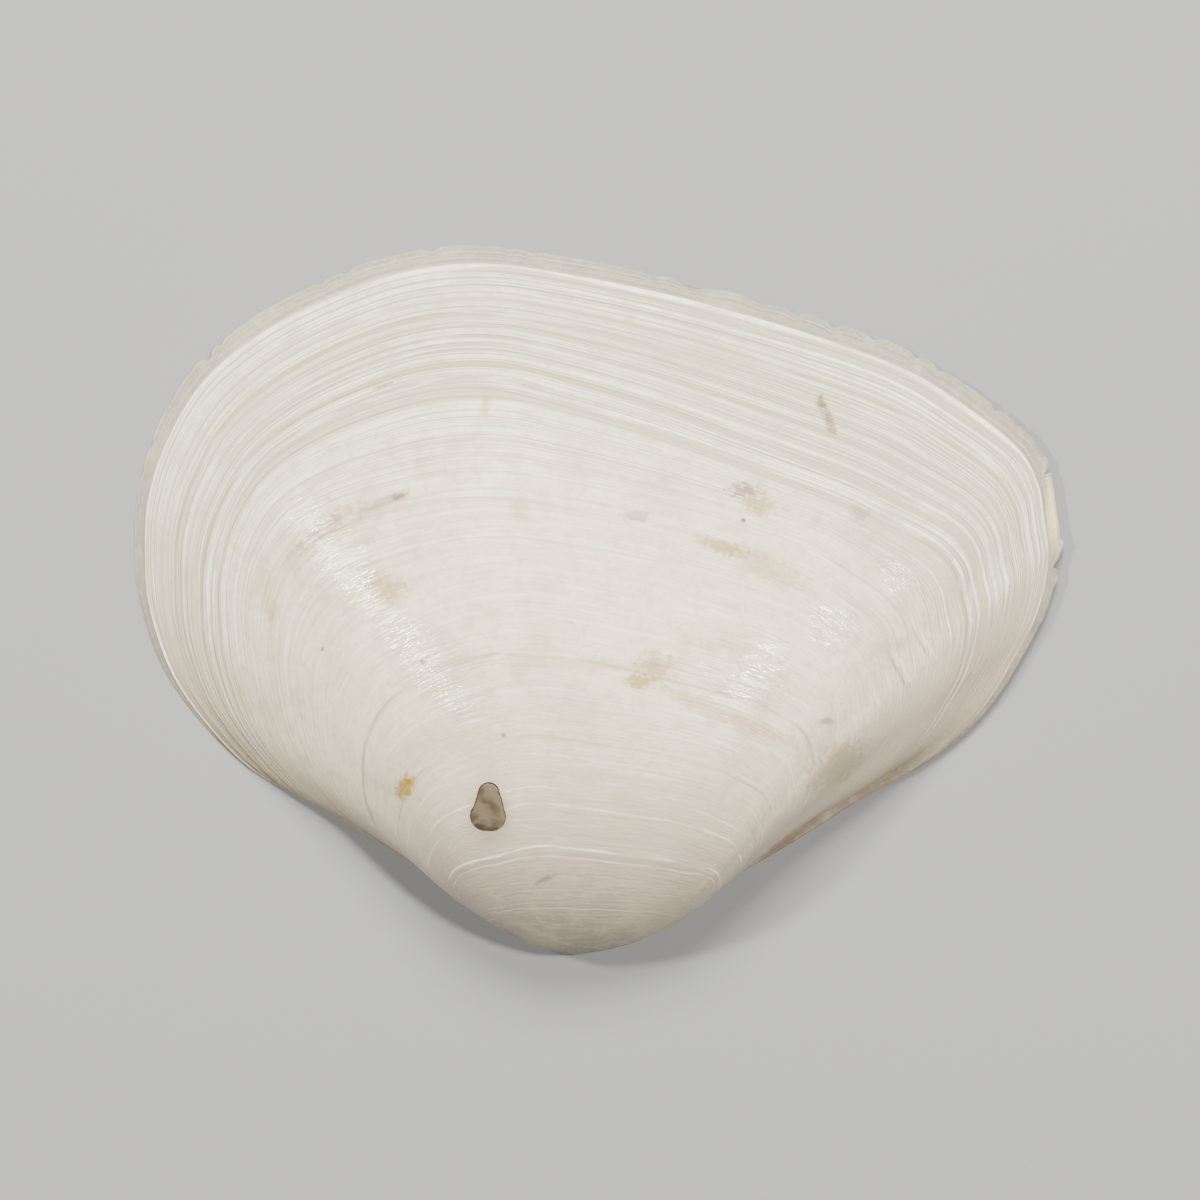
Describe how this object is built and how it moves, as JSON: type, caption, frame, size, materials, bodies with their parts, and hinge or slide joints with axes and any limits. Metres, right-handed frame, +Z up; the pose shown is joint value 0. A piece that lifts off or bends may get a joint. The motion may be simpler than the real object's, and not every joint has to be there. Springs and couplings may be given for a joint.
{
  "type": "bivalve seashell valve",
  "caption": "Single hollow valve of a tellin-like bivalve, lying on its rim: thin domed wall with growth ridges, low beak, blunt rear end and a snail's drill hole near the beak.",
  "frame": {"origin": "centre of the valve's length and height, on the ground that its rim rests on", "axes": "+X towards the blunt rear end, along the length; +Y towards the lower margin; +Z up through the domed outer face"},
  "size_m": [0.055, 0.042, 0.0102],
  "materials": {
    "shell": "chalky to satin warm-white aragonite with fine growth lines, glossy white inside"
  },
  "bodies": {
    "root": {"right_valve": "shell"}
  },
  "joints": []
}
